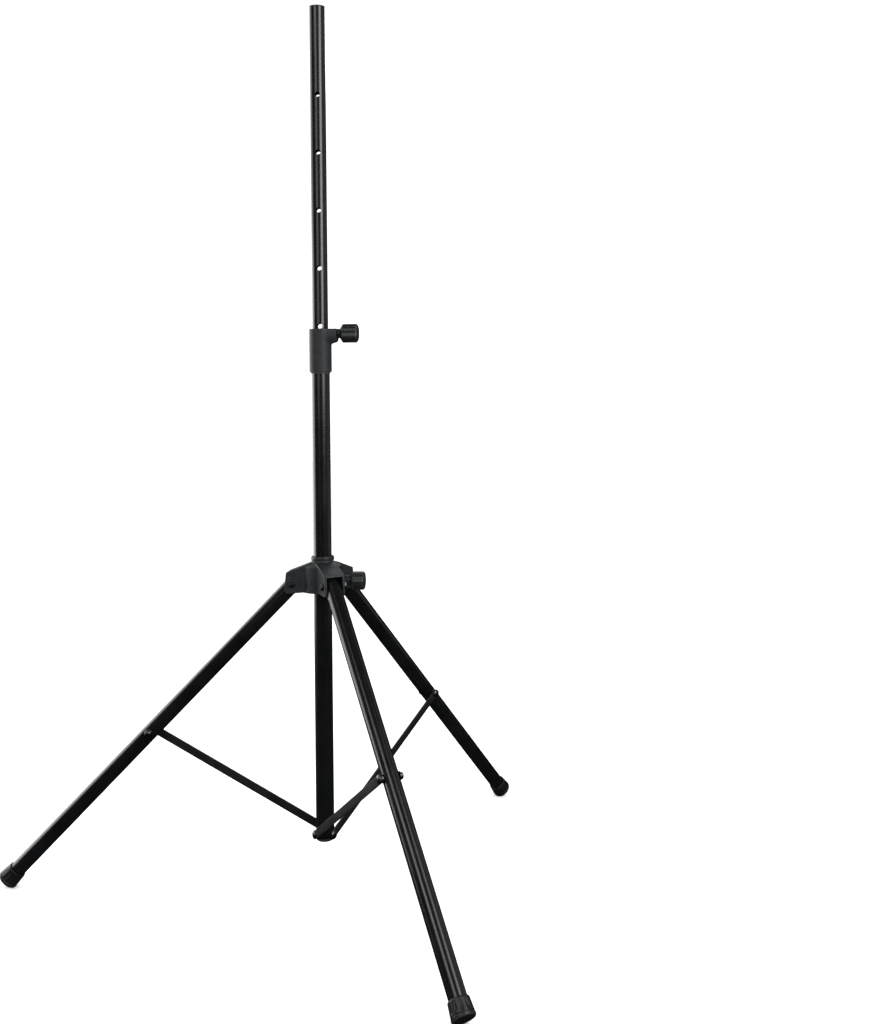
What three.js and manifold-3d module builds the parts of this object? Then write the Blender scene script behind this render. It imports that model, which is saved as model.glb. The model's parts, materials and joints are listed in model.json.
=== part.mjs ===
// A black steel speaker stand: a clamped telescopic mast on a folding tripod.
// Units are millimetres and +Z is up. The feet stand on z = 0, and the origin is the middle of the
// rectangle that the three feet span. The mast stands MAST_X in front of it along X.
import * as THREE from "three";
import { mergeVertices } from "three/addons/utils/BufferGeometryUtils.js";
import Module from "manifold-3d";

const wasm = await Module();
wasm.setup();

// ---------------------------------------------------------------- driving dimensions
const GAP = 0.3; // air left between pieces that touch on the real stand
const DEG = Math.PI / 180;

// mast
const TOP_Z = 1965;
const LOWER_R = 20;
const LOWER_WALL = 1.5;
const LOWER_BOTTOM_Z = 109;
const LOWER_TOP_Z = 1211.6;
const UPPER_R = 17.5;
const UPPER_WALL = 2;
const UPPER_BOTTOM_Z = 942;
const UPPER_TOP_Z = 1962.7;
const PIN_HOLES = 5;
const PIN_HOLE_R = 5.75;
const PIN_HOLE_TOP_Z = 1763;
const PIN_HOLE_PITCH = 130;
const PIN_HOLE_TURN = 7 * DEG; // the mast is clamped turned this far from square

// collar and its clamp screw, which points along +X
const COLLAR_BOTTOM_Z = 1137;
const COLLAR_TOP_Z = 1237;
const COLLAR_R = 24.8;
const COLLAR_SCREW_Z = 1226.3;
const COLLAR_BOSS_R = 20;
const COLLAR_BOSS_END = 39;
const COLLAR_RIVET_Z = 1199;
const COLLAR_RIVET_TURN = 125 * DEG;
const RIVET_HOLE_R = 3.3;

// clamp screws
const STUD_R = 5;
const STUD_HOLE_R = 5.25;
const PAD_R = 7;
const PAD_POCKET_R = 7.4;
const PAD_THICK = 3.7;

// tripod
const LEG_COUNT = 3;
const FIRST_LEG_TURN = Math.PI;
const LEG_R = 17.5;
const LEG_WALL = 1.5;
const LEG_LENGTH = 927; // from the hub pivot to the end of the foot
const LEG_SPREAD = 44.8 * DEG; // from the vertical
const PIVOT_RADIUS = 64; // from the mast's axis to a leg's hub pivot
const FOOT_R = 23;
const FOOT_EDGE_R = 6;
const FOOT_LENGTH = 36;

// struts: flat bars on one side of each leg, pinned to the foot of the mast
const STRUT_ON_LEG = 462; // from the hub pivot to the strut's bolt
const STRUT_PIN_Z = 117.5;
const STRUT_WIDTH = 18;
const STRUT_NEAR = 20.5; // the bar's two faces, from the leg's middle plane
const STRUT_FAR = 24;
const BOLT_R = 4;
const BOLT_HOLE_R = 4.3;

// hub, with heights from the leg pivots
const HUB_BORE_R = 22.3;
const HUB_BARREL_R = 42;
const HUB_WALL = 3.5;
const HUB_CORE_R = 29; // the thick wall round the bore
const HUB_BOTTOM = -19.5;
const HUB_NECK_TOP = 50;
const HUB_FLANGE_TOP = 59;
const EAR_INNER = 18.3;
const EAR_OUTER = 23;
const HUB_SCREW_RISE = 3;
const HUB_BOSS_R = 13;
const HUB_BOSS_END = 62;

// facets of a full turn
const TUBE_SIDES = 40;
const ROUND_SIDES = 24;
const SMALL_SIDES = 16;
const BOLT_HOLE_SIDES = 12;

// worked out from the above
const EDGE_RING_R = FOOT_R - FOOT_EDGE_R;
const HUB_Z =
  (LEG_LENGTH - FOOT_EDGE_R) * Math.cos(LEG_SPREAD) + EDGE_RING_R * Math.sin(LEG_SPREAD) + FOOT_EDGE_R;
const BOLT_RADIUS = PIVOT_RADIUS + STRUT_ON_LEG * Math.sin(LEG_SPREAD);
const BOLT_Z = HUB_Z - STRUT_ON_LEG * Math.cos(LEG_SPREAD);
const STRUT_LENGTH = Math.hypot(BOLT_RADIUS, BOLT_Z - STRUT_PIN_Z);
const STRUT_SPREAD = Math.atan2(BOLT_RADIUS, BOLT_Z - STRUT_PIN_Z);

// ---------------------------------------------------------------- finishes
const finish = (color, roughness, metalness) =>
  new THREE.MeshStandardMaterial({ color, roughness, metalness });
const blackPaint = () => finish(0x0d0e10, 0.32, 0.5);
const barPaint = () => finish(0x1b1c1e, 0.45, 0.4);
const greyPlastic = () => finish(0x26282b, 0.7, 0);
const knobPlastic = () => finish(0x17181b, 0.5, 0);
const blackRubber = () => finish(0x141414, 0.85, 0);
const darkSteel = () => finish(0x3a3b3d, 0.35, 0.9);
const brass = () => finish(0xb08d4a, 0.4, 0.9);

// ---------------------------------------------------------------- geometry helpers
// A closed profile of [radius, height] points, anticlockwise, turned about +Z.
function turned(profile, sides) {
  const points = profile.map(([radius, height]) => new THREE.Vector2(radius, height));
  return new THREE.LatheGeometry(points, sides).rotateX(Math.PI / 2);
}

function ring(inner, outer, from, to, sides) {
  return turned([[inner, from], [outer, from], [outer, to], [inner, to], [inner, from]], sides);
}

function rod(radius, from, to, sides) {
  return turned([[0, from], [radius, from], [radius, to], [0, to]], sides);
}

// Lays a shape made about +Z along +X or +Y.
const alongX = (geometry) => geometry.rotateY(Math.PI / 2);
const alongY = (geometry) => geometry.rotateX(-Math.PI / 2);

function solid(geometry) {
  const bare = geometry.clone();
  bare.deleteAttribute("normal");
  bare.deleteAttribute("uv");
  const merged = mergeVertices(bare);
  const vertProperties = merged.attributes.position.array;
  const triVerts = new Uint32Array(merged.index.array);
  return new wasm.Manifold(new wasm.Mesh({ numProp: 3, vertProperties, triVerts }));
}

function geometryOf(manifold) {
  const { vertProperties, triVerts } = manifold.getMesh();
  const geometry = new THREE.BufferGeometry();
  geometry.setAttribute("position", new THREE.BufferAttribute(vertProperties, 3));
  geometry.setIndex(new THREE.BufferAttribute(triVerts, 1));
  geometry.computeVertexNormals();
  return geometry;
}

const cut = (body, ...tools) =>
  geometryOf(tools.reduce((left, tool) => left.subtract(solid(tool)), solid(body)));

const joined = (...pieces) =>
  pieces.slice(1).reduce((whole, piece) => whole.add(solid(piece)), solid(pieces[0]));

function mesh(name, geometry, material) {
  const made = new THREE.Mesh(geometry, material);
  made.name = name;
  return made;
}

// Pulls a turned shape in between evenly spaced lobes, most where its radius is greatest.
function lobed(geometry, lobes, depth, fullRadius) {
  const place = geometry.attributes.position;
  for (let i = 0; i < place.count; i += 1) {
    const x = place.getX(i);
    const y = place.getY(i);
    const share = Math.hypot(x, y) / fullRadius;
    const pinch = (1 - Math.cos(lobes * Math.atan2(y, x))) / 2;
    const scale = share > 0.6 ? 1 - (depth / fullRadius) * pinch * share : 1;
    place.setXY(i, x * scale, y * scale);
  }
  return geometry;
}

// An upright plate outline in the XZ plane, given thickness along Y.
function plate(outline, fromY, toY) {
  const shape = new THREE.Shape(outline.map(([x, z]) => new THREE.Vector2(x, z)));
  const made = new THREE.ExtrudeGeometry(shape, { depth: toY - fromY, bevelEnabled: false });
  return made.rotateX(Math.PI / 2).translate(0, toY, 0);
}

// ---------------------------------------------------------------- mast
function lowerTube() {
  const wall = ring(LOWER_R - LOWER_WALL, LOWER_R, LOWER_BOTTOM_Z, LOWER_TOP_Z, TUBE_SIDES);
  const rivetHole = alongX(rod(RIVET_HOLE_R, 15, 25, SMALL_SIDES))
    .rotateZ(COLLAR_RIVET_TURN)
    .translate(0, 0, COLLAR_RIVET_Z);
  return mesh("lower_tube", cut(wall, ...strutPinHoles(15, 25), rivetHole), blackPaint());
}

// The strut pins point at the mast's axis, square to each leg's direction.
function strutPinHoles(from, to) {
  return legTurns().map((turn) =>
    alongX(rod(BOLT_HOLE_R, from, to, BOLT_HOLE_SIDES))
      .rotateZ(turn - Math.PI / 2)
      .translate(0, 0, STRUT_PIN_Z),
  );
}

function tubeEndCap() {
  const outer = LOWER_R - LOWER_WALL - GAP;
  const inner = outer - 3.5;
  const flangeTop = LOWER_BOTTOM_Z - GAP;
  const end = flangeTop - 6;
  const profile = [
    [0, end], [15.5, end], [18.4, end + 1], [LOWER_R, end + 3.5], [LOWER_R, flangeTop], [outer, flangeTop],
    [outer, end + 44], [inner, end + 44], [inner, end + 4], [0, end + 4],
  ];
  const body = turned(profile, ROUND_SIDES);
  return mesh("tube_end_cap", cut(body, ...strutPinHoles(12, 25)), greyPlastic());
}

function upperTube() {
  const wall = ring(UPPER_R - UPPER_WALL, UPPER_R, UPPER_BOTTOM_Z, UPPER_TOP_Z, TUBE_SIDES);
  const holes = [];
  for (let i = 0; i < PIN_HOLES; i += 1) {
    const z = PIN_HOLE_TOP_Z - i * PIN_HOLE_PITCH;
    holes.push(alongY(rod(PIN_HOLE_R, -25, 25, SMALL_SIDES)).rotateZ(PIN_HOLE_TURN).translate(0, 0, z));
  }
  return mesh("upper_tube", cut(wall, ...holes), blackPaint());
}

function topPlug() {
  const spigot = UPPER_R - UPPER_WALL - GAP;
  const seat = UPPER_TOP_Z + GAP;
  const profile = [
    [0, TOP_Z - 4], [spigot - 2.5, TOP_Z - 4], [spigot - 2.5, TOP_Z - 24], [spigot, TOP_Z - 24],
    [spigot, seat], [UPPER_R, seat], [UPPER_R, TOP_Z - 0.9], [UPPER_R - 0.9, TOP_Z], [0, TOP_Z],
  ];
  return mesh("top_plug", turned(profile, ROUND_SIDES), knobPlastic());
}

function mastGuide() {
  const flange = LOWER_R - LOWER_WALL - 0.2;
  const spigot = UPPER_R - UPPER_WALL - GAP;
  const seat = UPPER_BOTTOM_Z - GAP;
  const profile = [
    [12, seat - 8], [flange - 1, seat - 8], [flange, seat - 7], [flange, seat], [spigot, seat],
    [spigot, seat + 22], [12, seat + 22], [12, seat - 8],
  ];
  return mesh("mast_guide", turned(profile, ROUND_SIDES), greyPlastic());
}

// ---------------------------------------------------------------- collar
function collar() {
  const overTube = LOWER_R + 0.35;
  const overMast = UPPER_R + 0.6;
  const profile = [
    [overTube, COLLAR_BOTTOM_Z], [21.4, COLLAR_BOTTOM_Z], [21.6, COLLAR_BOTTOM_Z + 3.4],
    [COLLAR_R, COLLAR_BOTTOM_Z + 3.8], [COLLAR_R, COLLAR_TOP_Z - 1], [COLLAR_R - 1, COLLAR_TOP_Z],
    [overMast, COLLAR_TOP_Z], [overMast, COLLAR_TOP_Z - 19], [overTube, COLLAR_TOP_Z - 20.5],
    [overTube, COLLAR_BOTTOM_Z],
  ];
  const sleeve = turned(profile, TUBE_SIDES);
  const boss = turned(
    [[0, 0], [COLLAR_BOSS_R, 0], [COLLAR_BOSS_R, COLLAR_BOSS_END - 3], [COLLAR_BOSS_R - 3, COLLAR_BOSS_END],
      [0, COLLAR_BOSS_END]],
    ROUND_SIDES,
  );
  alongX(boss).translate(0, 0, COLLAR_SCREW_Z);
  const above = new THREE.BoxGeometry(100, 60, 40).translate(40, 0, COLLAR_TOP_Z + 20);
  const tubeBore = rod(overTube, COLLAR_BOTTOM_Z - 5, COLLAR_TOP_Z - 20.5, TUBE_SIDES);
  const mastBore = rod(overMast, COLLAR_TOP_Z - 30, COLLAR_TOP_Z + 5, TUBE_SIDES);
  const studHole = alongX(rod(STUD_HOLE_R, 10, 50, SMALL_SIDES)).translate(0, 0, COLLAR_SCREW_Z);
  const padPocket = alongX(rod(PAD_POCKET_R, 10, 28, SMALL_SIDES)).translate(0, 0, COLLAR_SCREW_Z);
  const rivetHole = alongX(rod(RIVET_HOLE_R, 15, 30, SMALL_SIDES))
    .rotateZ(COLLAR_RIVET_TURN)
    .translate(0, 0, COLLAR_RIVET_Z);
  const trimmedBoss = cut(boss, above, tubeBore, mastBore);
  const whole = geometryOf(joined(sleeve, trimmedBoss));
  return mesh("collar", cut(whole, studHole, padPocket, rivetHole), greyPlastic());
}

function collarBush() {
  const inner = UPPER_R + 0.22;
  const outer = LOWER_R - LOWER_WALL - 0.2;
  const seat = LOWER_TOP_Z + GAP;
  const profile = [
    [inner, LOWER_TOP_Z - 40], [outer, LOWER_TOP_Z - 40], [outer, seat], [LOWER_R, seat],
    [LOWER_R, seat + 3], [inner, seat + 3], [inner, LOWER_TOP_Z - 40],
  ];
  return mesh("collar_bush", turned(profile, ROUND_SIDES), knobPlastic());
}

function collarRivet() {
  const seat = COLLAR_R + GAP;
  const profile = [
    [0, 18.8], [3, 18.8], [3, seat], [8.5, seat], [8.2, seat + 1.6], [6.6, seat + 3.4], [3.6, seat + 4.5],
    [0, seat + 4.9],
  ];
  const rivet = alongX(turned(profile, SMALL_SIDES)).rotateZ(COLLAR_RIVET_TURN);
  return mesh("collar_rivet", rivet.translate(0, 0, COLLAR_RIVET_Z), darkSteel());
}

// ---------------------------------------------------------------- clamp screws
// Each is made along +X from the mast's axis: a pad on the tube, a threaded stud, and a knob.
function clampPad(name, tubeR, z) {
  const near = tubeR + GAP;
  const profile = [[0, near], [PAD_R, near], [PAD_R, near + PAD_THICK], [0, near + PAD_THICK]];
  return mesh(name, alongX(turned(profile, SMALL_SIDES)).translate(0, 0, z), brass());
}

function clampStud(name, tubeR, knobStart, z) {
  const from = tubeR + 2 * GAP + PAD_THICK;
  const stud = rod(STUD_R, from, knobStart + 18, SMALL_SIDES);
  return mesh(name, alongX(stud).translate(0, 0, z), darkSteel());
}

// A knob with a blind hole for its stud. outline runs from the hole's mouth to the middle of its end.
function knobProfile(start, outline) {
  const hole = STUD_R + GAP;
  return [[0, start + 18 + GAP], [hole, start + 18 + GAP], [hole, start], ...outline];
}

function collarKnob() {
  const start = 40.5;
  const profile = knobProfile(start, [
    [11, start], [11, 45], [19.8, 49.6], [21, 51.2], [21, 82.2], [18.4, 85.4], [0, 86],
  ]);
  const knob = lobed(turned(profile, 48), 6, 2.6, 21);
  return mesh("collar_knob", alongX(knob).translate(0, 0, COLLAR_SCREW_Z), knobPlastic());
}

function hubKnob() {
  const start = 64;
  const profile = knobProfile(start, [
    [11, start], [11, 67], [19.2, 67.6], [20.5, 69.2], [20.5, 91], [18.3, 94.4], [0, 95.5],
  ]);
  const knob = lobed(turned(profile, 48), 12, 0.8, 20.5);
  return mesh("hub_knob", alongX(knob).translate(0, 0, HUB_SCREW_RISE), knobPlastic());
}

// ---------------------------------------------------------------- hub
// The roof line of a leg housing, from the neck out to its end.
const ROOF_IN = [26, 44.5];
const ROOF_OUT = [78, 25];
const ROOF_THICK = 4;

function legHousing(turn) {
  const ear = [
    [10, HUB_BOTTOM + 2], [HUB_CORE_R, HUB_BOTTOM + 1.5], [72, -21], [78, -20.4], [80.6, -17], [81, 0],
    ROOF_OUT, ROOF_IN, [10, 44.5],
  ];
  const roof = [
    [24, 40], [ROOF_OUT[0], ROOF_OUT[1] - ROOF_THICK], ROOF_OUT, ROOF_IN, [24, 44.5],
  ];
  const sides = [plate(ear, -EAR_OUTER, -EAR_INNER), plate(ear, EAR_INNER, EAR_OUTER)];
  return [...sides, plate(roof, -EAR_OUTER, EAR_OUTER)].map((piece) => piece.rotateZ(turn));
}

function hub() {
  const shoulder = 38;
  const wholeBarrel = turned(
    [[0, HUB_BOTTOM], [HUB_BARREL_R - 1.5, HUB_BOTTOM], [HUB_BARREL_R, HUB_BOTTOM + 1.5],
      [HUB_BARREL_R, shoulder], [26.5, 45], [24.6, 46.5], [24.6, HUB_NECK_TOP], [0, HUB_NECK_TOP]],
    TUBE_SIDES,
  );
  const pocket = ring(HUB_CORE_R, HUB_BARREL_R - HUB_WALL, HUB_BOTTOM - 10, shoulder - HUB_WALL, TUBE_SIDES);
  const barrel = cut(wholeBarrel, pocket);
  const boss = alongX(rod(HUB_BOSS_R, 20, HUB_BOSS_END, ROUND_SIDES)).translate(0, 0, HUB_SCREW_RISE);
  const housings = legTurns().flatMap(legHousing);
  const bore = rod(HUB_BORE_R, -60, 80, TUBE_SIDES);
  const studHole = alongX(rod(STUD_HOLE_R, 10, 70, SMALL_SIDES)).translate(0, 0, HUB_SCREW_RISE);
  const padPocket = alongX(rod(PAD_POCKET_R, 10, 33, SMALL_SIDES)).translate(0, 0, HUB_SCREW_RISE);
  const boltHoles = legTurns().map((turn) =>
    alongY(rod(BOLT_HOLE_R, -30, 30, BOLT_HOLE_SIDES)).translate(PIVOT_RADIUS, 0, 0).rotateZ(turn),
  );
  const whole = geometryOf(joined(barrel, boss, ...housings));
  return mesh("hub", cut(whole, bore, studHole, padPocket, ...boltHoles), greyPlastic());
}

function hubSleeve() {
  const inner = LOWER_R + GAP;
  const outer = HUB_BORE_R - GAP;
  const seat = HUB_NECK_TOP + GAP;
  const profile = [
    [inner, HUB_BOTTOM + 1], [outer, HUB_BOTTOM + 1], [outer, seat], [24.6, seat], [25.6, seat + 1.2],
    [25.6, HUB_FLANGE_TOP - 3], [24, HUB_FLANGE_TOP], [inner, HUB_FLANGE_TOP], [inner, HUB_BOTTOM + 1],
  ];
  const window = alongX(rod(PAD_POCKET_R, 10, 33, SMALL_SIDES)).translate(0, 0, HUB_SCREW_RISE);
  return mesh("hub_sleeve", cut(turned(profile, TUBE_SIDES), window), knobPlastic());
}

// ---------------------------------------------------------------- fasteners, made along +Y
function hexPrism(acrossFlats, from, to) {
  return rod(acrossFlats / Math.sqrt(3), from, to, 6);
}

function pivotBolt(name) {
  const under = -EAR_OUTER - GAP;
  const head = hexPrism(13, under - 5, under);
  const shank = rod(BOLT_R, under - 1, EAR_OUTER + 8.5, SMALL_SIDES);
  return mesh(name, alongY(geometryOf(joined(head, shank))), darkSteel());
}

function pivotNut(name) {
  const seat = EAR_OUTER + GAP;
  const nut = cut(hexPrism(13, seat, seat + 6.5), rod(BOLT_R + GAP, seat - 1, seat + 8, SMALL_SIDES));
  return mesh(name, alongY(nut), darkSteel());
}

// The profile of a low domed head whose flat side faces +Y.
function domedHead(radius, height, seat) {
  return [[0, seat - height], [radius * 0.45, seat - height * 0.9], [radius * 0.8, seat - height * 0.6],
    [radius, seat - height * 0.2], [radius, seat]];
}

function strutBolt(name) {
  const seat = -STRUT_FAR - GAP;
  const profile = [...domedHead(9.5, 5, seat), [BOLT_R, seat], [BOLT_R, 22], [0, 22]];
  return mesh(name, alongY(turned(profile, SMALL_SIDES)), darkSteel());
}

function strutNut(name) {
  const seat = LEG_R + GAP;
  const hole = BOLT_R + GAP;
  const profile = [
    [0, 22.4], [hole, 22.4], [hole, seat], [9.5, seat], [9.5, seat + 1.7], [7.4, seat + 2], [7.2, 24],
    [5.2, 26], [0, 26.8],
  ];
  return mesh(name, alongY(turned(profile, SMALL_SIDES)), darkSteel());
}

function strutSpacer(name) {
  const spacer = ring(BOLT_HOLE_R, 8.5, -STRUT_NEAR + GAP, -LEG_R - GAP, SMALL_SIDES);
  return mesh(name, alongY(spacer), darkSteel());
}

function strutPin(name) {
  const seat = -STRUT_FAR - GAP;
  const end = -STRUT_NEAR + 0.1; // short of the tube, so that the bar's end can leave it
  const profile = [...domedHead(10, 5, seat), [BOLT_R, seat], [BOLT_R, end], [0, end]];
  return mesh(name, alongY(turned(profile, SMALL_SIDES)), darkSteel());
}

// ---------------------------------------------------------------- leg, with -Z along it
function legTube(name) {
  const wall = ring(LEG_R - LEG_WALL, LEG_R, -LEG_LENGTH + 8, 9, TUBE_SIDES);
  const pivotHole = alongY(rod(BOLT_HOLE_R, -25, 25, BOLT_HOLE_SIDES));
  const strutHole = alongY(rod(BOLT_HOLE_R, -25, 25, BOLT_HOLE_SIDES)).translate(0, 0, -STRUT_ON_LEG);
  return mesh(name, cut(wall, pivotHole, strutHole), blackPaint());
}

function legPlug(name) {
  const spigot = LEG_R - LEG_WALL - GAP;
  const seat = 9 + GAP;
  const profile = [
    [0, -20], [spigot, -20], [spigot, seat], [LEG_R, seat], [LEG_R, 10.8], [LEG_R - 1.6, 12.2], [0, 12.2],
  ];
  const pivotHole = alongY(rod(BOLT_HOLE_R, -25, 25, BOLT_HOLE_SIDES));
  return mesh(name, cut(turned(profile, ROUND_SIDES), pivotHole), knobPlastic());
}

function legFoot(name) {
  const end = -LEG_LENGTH;
  const top = end + FOOT_LENGTH;
  const bore = LEG_R + GAP;
  const rounding = [LEG_SPREAD / 2, LEG_SPREAD, LEG_SPREAD / 2 + 45 * DEG].map((angle) => [
    EDGE_RING_R + FOOT_EDGE_R * Math.sin(angle),
    end + FOOT_EDGE_R * (1 - Math.cos(angle)),
  ]);
  const profile = [
    [0, end], [EDGE_RING_R, end], ...rounding, [FOOT_R, end + FOOT_EDGE_R], [22.3, end + 9],
    [20.6, top - 3], [19.8, top], [bore, top], [bore, end + 7.7], [0, end + 7.7],
  ];
  return mesh(name, turned(profile, ROUND_SIDES), blackRubber());
}

// ---------------------------------------------------------------- strut, with -Z along it
function strut(name) {
  const half = STRUT_WIDTH / 2;
  const outline = new THREE.Shape();
  outline.absarc(0, 0, half, 0, Math.PI, false);
  outline.absarc(0, -STRUT_LENGTH, half, Math.PI, 2 * Math.PI, false);
  for (const z of [0, -STRUT_LENGTH]) {
    const hole = new THREE.Path();
    hole.absarc(0, z, BOLT_HOLE_R, 0, 2 * Math.PI, true);
    outline.holes.push(hole);
  }
  const depth = STRUT_FAR - STRUT_NEAR;
  const bar = new THREE.ExtrudeGeometry(outline, { depth, bevelEnabled: false, curveSegments: 8 });
  return mesh(name, bar.rotateX(Math.PI / 2).translate(0, -STRUT_NEAR, 0), barPaint());
}

// ---------------------------------------------------------------- assembly
function legTurns() {
  return Array.from({ length: LEG_COUNT }, (_, i) => FIRST_LEG_TURN + (i * 2 * Math.PI) / LEG_COUNT);
}

function placed(x, z, tilt, ...members) {
  const group = new THREE.Group();
  group.position.set(x, 0, z);
  group.rotation.y = tilt;
  group.add(...members);
  return group;
}

function tripodSide(turn, i) {
  const k = i + 1;
  const side = new THREE.Group();
  side.rotation.z = turn;
  side.add(
    placed(PIVOT_RADIUS, HUB_Z, 0, pivotBolt(`leg_${k}_pivot_bolt`), pivotNut(`leg_${k}_pivot_nut`)),
    placed(PIVOT_RADIUS, HUB_Z, -LEG_SPREAD, legTube(`leg_${k}_tube`), legPlug(`leg_${k}_top_plug`),
      legFoot(`leg_${k}_foot`)),
    placed(BOLT_RADIUS, BOLT_Z, STRUT_SPREAD, strut(`strut_${k}`), strutBolt(`strut_${k}_bolt`),
      strutNut(`strut_${k}_nut`), strutSpacer(`strut_${k}_spacer`)),
    placed(0, STRUT_PIN_Z, STRUT_SPREAD, strutPin(`strut_${k}_pin`)),
  );
  return side;
}

const mast = new THREE.Group();
mast.add(
  lowerTube(),
  tubeEndCap(),
  upperTube(),
  topPlug(),
  mastGuide(),
  collar(),
  collarBush(),
  collarRivet(),
  clampPad("collar_pad", UPPER_R, COLLAR_SCREW_Z),
  clampStud("collar_stud", UPPER_R, 40.5, COLLAR_SCREW_Z),
  collarKnob(),
);

const hubGroup = placed(
  0,
  HUB_Z,
  0,
  hub(),
  hubSleeve(),
  clampPad("hub_pad", LOWER_R, HUB_SCREW_RISE),
  clampStud("hub_stud", LOWER_R, 64, HUB_SCREW_RISE),
  hubKnob(),
);

// How far a foot reaches from the mast's axis in a direction that is this far round from its leg:
// the middle of its edge ring, then the ring's own reach, then its rounded edge.
function footReach(turn) {
  const middle = PIVOT_RADIUS + (LEG_LENGTH - FOOT_EDGE_R) * Math.sin(LEG_SPREAD);
  const alongLeg = Math.sin(LEG_SPREAD) * Math.cos(turn);
  return middle * Math.cos(turn) + EDGE_RING_R * Math.sqrt(1 - alongLeg ** 2) + FOOT_EDGE_R;
}

// The first foot reaches out along -X, and the other two stand 60 degrees either side of +X.
const MAST_X = (footReach(0) - footReach(60 * DEG)) / 2;

const stand = new THREE.Group();
stand.position.x = MAST_X;
stand.add(mast, hubGroup, ...legTurns().map(tripodSide));

const part = new THREE.Group();
part.add(stand);
export default part;
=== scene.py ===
"""The looks of a black speaker stand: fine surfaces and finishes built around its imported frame.

Sizes are millimetres and become metres when a mesh is made. Each piece is drawn in a space of its
own, with Z along the piece, and the frame's joints and boxes say where that space lies.
"""

import json
import math

import bpy
import numpy as np
import openvdb
from mathutils import Matrix, Vector


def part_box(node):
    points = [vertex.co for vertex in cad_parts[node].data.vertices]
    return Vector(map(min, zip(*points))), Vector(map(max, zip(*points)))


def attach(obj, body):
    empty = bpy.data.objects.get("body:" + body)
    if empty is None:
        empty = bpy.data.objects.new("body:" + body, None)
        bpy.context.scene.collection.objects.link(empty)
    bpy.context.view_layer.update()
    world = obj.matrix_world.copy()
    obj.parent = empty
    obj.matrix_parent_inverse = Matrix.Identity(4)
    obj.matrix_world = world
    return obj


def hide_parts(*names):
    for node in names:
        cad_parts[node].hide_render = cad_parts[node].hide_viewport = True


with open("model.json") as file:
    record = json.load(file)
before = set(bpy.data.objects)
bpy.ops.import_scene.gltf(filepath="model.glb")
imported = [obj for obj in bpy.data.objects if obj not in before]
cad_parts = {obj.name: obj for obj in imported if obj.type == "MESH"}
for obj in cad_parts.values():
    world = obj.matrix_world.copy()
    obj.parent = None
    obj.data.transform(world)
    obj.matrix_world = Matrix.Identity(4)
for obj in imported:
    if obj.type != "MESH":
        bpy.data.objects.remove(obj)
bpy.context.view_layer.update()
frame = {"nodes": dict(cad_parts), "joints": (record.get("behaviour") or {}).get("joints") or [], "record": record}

MM = 0.001
DEG = math.pi / 180
UP = Vector((0, 0, 1))

# ---------------------------------------------------------------- the stand, from the frame
JOINTS = {joint["name"]: joint for joint in frame["joints"]}
SLOTS = {part["node"]: part["material_slot"] for part in frame["record"]["subparts"]}
BODIES = {
    node: body for body, nodes in frame["record"]["behaviour"]["bodies"].items() for node in nodes
}
LEGS = (1, 2, 3)


def middle(node):
    low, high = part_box(node)
    return (low + high) / 2


def pivot(joint):
    return Vector(JOINTS[joint]["pos_m"])


MAST = middle("lower_tube") * Vector((1, 1, 0))
HUB_ORIGIN = MAST + UP * pivot("leg_1_fold").z
COLLAR_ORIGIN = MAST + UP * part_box("collar")[0].z


def space(origin, x, y, z):
    """The matrix of a space with that origin and those three square directions."""
    made = Matrix((x, y, z)).transposed().to_4x4()
    made.translation = origin
    return made


def upright(origin):
    return Matrix.Translation(origin)


def across(origin, direction):
    """A space whose Z runs level in a direction."""
    z = Vector(direction).normalized()
    return space(origin, -UP, z.cross(-UP), z)


def leg_side(k):
    """The level direction square to leg k, which its bolts follow."""
    out = pivot(f"leg_{k}_fold") - HUB_ORIGIN
    return UP.cross(out.normalized())


def along(origin, towards, side):
    """A space whose Z runs from origin to another point, with Y to the side."""
    z = (towards - origin).normalized()
    return space(origin, side.cross(z), side, z)


def leg_space(k):
    """Leg k's space: the hub pivot is its origin, and the leg runs down its Z."""
    hub_pivot = pivot(f"leg_{k}_fold")
    bolt = pivot(f"strut_{k}_fold")
    return along(hub_pivot, hub_pivot * 2 - bolt, leg_side(k))


def strut_foot(k):
    """Where strut k's lower hole lies in the plane of its leg: on the mast's axis."""
    return MAST + UP * middle(f"strut_{k}_pin").z


def strut_space(k):
    """Strut k's space: its bolt is the origin, and the bar runs down its Z."""
    bolt = pivot(f"strut_{k}_fold")
    return along(bolt, bolt * 2 - strut_foot(k), leg_side(k))


def span(node, place):
    """A CAD node's lowest and highest Z in a space, in millimetres."""
    back = place.inverted()
    heights = [(back @ v.co).z / MM for v in frame["nodes"][node].data.vertices]
    return min(heights), max(heights)


# ---------------------------------------------------------------- meshes
def add_piece(name, points, faces, place, normals=None, edge=None):
    """A smooth mesh object from points in millimetres, placed in its space."""
    mesh = bpy.data.meshes.new(name)
    mesh.from_pydata((np.asarray(points, float) * MM).tolist(), [], faces)
    mesh.validate()
    mesh.shade_smooth()
    # The edge mark: worn edges above zero, and on moulded pieces hollows below zero, which take painted shade.
    if edge is not None:
        worn = mesh.attributes.new("edge", "FLOAT", "POINT")
        worn.data.foreach_set("value", np.asarray(edge, np.float32))
    if normals is not None:
        mesh.normals_split_custom_set_from_vertices(np.asarray(normals, float).tolist())
    piece = bpy.data.objects.new(name, mesh)
    bpy.context.scene.collection.objects.link(piece)
    piece.matrix_world = place
    return piece


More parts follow.
